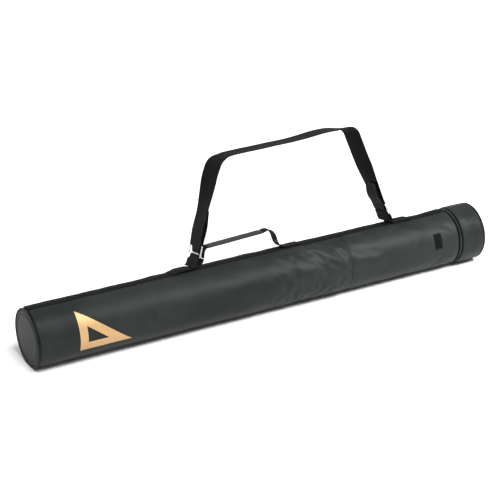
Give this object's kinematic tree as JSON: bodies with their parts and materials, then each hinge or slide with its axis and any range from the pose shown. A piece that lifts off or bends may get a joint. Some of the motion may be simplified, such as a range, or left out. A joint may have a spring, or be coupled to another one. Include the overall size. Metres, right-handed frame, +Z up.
{
  "type": "drawing tube",
  "caption": "Padded cylindrical carry tube for rolled drawings, with a zipped hinged end lid, a webbing carry handle and an adjustable webbing shoulder strap.",
  "frame": {"origin": "on the surface the case rests on, at the middle of its flat underside", "axes": "+X along the tube from the base to the zipped lid, +Z up, +Y to the back, where the zip slider is parked"},
  "size_m": [0.872, 0.1175, 0.2859],
  "materials": {
    "skin": "satin",
    "piping": "satin",
    "webbing": "matte",
    "lining": "matte",
    "foam": "matte",
    "board": "matte",
    "zip": "satin",
    "nickel": "polished",
    "foil": "satin"
  },
  "bodies": {
    "case": {"core_tube": "board", "foam_sleeve": "foam", "lining_sleeve": "lining", "base_lining": "lining", "base_panel": "skin", "base_board": "board", "base_piping": "piping", "cover_long": "skin", "seam_welt": "skin", "cover_short": "skin", "label_patch": "webbing", "foil_mark": "foil", "top_band": "webbing", "anchor_tab_left": "webbing", "anchor_tab_right": "webbing", "anchor_loop_left": "webbing", "anchor_loop_right": "webbing", "handle_foot_left": "webbing", "handle_foot_right": "webbing", "zip_teeth_case": "zip", "zip_tape_case": "webbing", "zip_stop_back": "nickel", "zip_stop_front": "nickel", "lid_hinge_tape": "skin"},
    "lid": {"lid_side": "skin", "lid_foam": "foam", "lid_lining": "lining", "lid_end_lining": "lining", "lid_board": "board", "lid_panel": "skin", "lid_piping": "piping", "zip_teeth_lid": "zip", "zip_tape_lid": "webbing"},
    "slider": {"zip_slider": "nickel", "zip_slider_arch": "nickel"},
    "pull": {"zip_pull": "nickel"},
    "strap": {"glide_left": "nickel", "glide_right": "nickel", "shoulder_strap": "webbing"},
    "handle": {"handle_web": "webbing", "handle_grip": "skin"}
  },
  "joints": [
    {"name": "lid_open", "type": "hinge", "parent": "case", "child": "lid", "pos_m": [0.383, 0.02192, 0.09394], "axis": [0, -0.8988, 0.4384], "range_deg": [0, 150], "deforming": ["lid_hinge_tape"]},
    {"name": "zip_run", "type": "hinge", "parent": "case", "child": "slider", "pos_m": [0.383, 0, 0.049], "axis": [-1, 0, 0], "range_deg": [0, 293]},
    {"name": "pull_flip", "type": "hinge", "parent": "slider", "child": "pull", "pos_m": [0.383, 0.04883, 0.07496], "axis": [1, 0, 0], "range_deg": [0, 150]},
    {"name": "strap_swing", "type": "hinge", "parent": "case", "child": "strap", "pos_m": [0.065, 0.01435, 0.11955], "axis": [1, 0, 0], "range_deg": [-65, 65], "deforming": ["anchor_loop_left", "anchor_loop_right"]},
    {"name": "handle_swing", "type": "hinge", "parent": "case", "child": "handle", "pos_m": [-0.041, 0.01256, 0.11074], "axis": [1, 0, 0], "range_deg": [-80, 80], "deforming": ["handle_foot_left", "handle_foot_right"]}
  ]
}
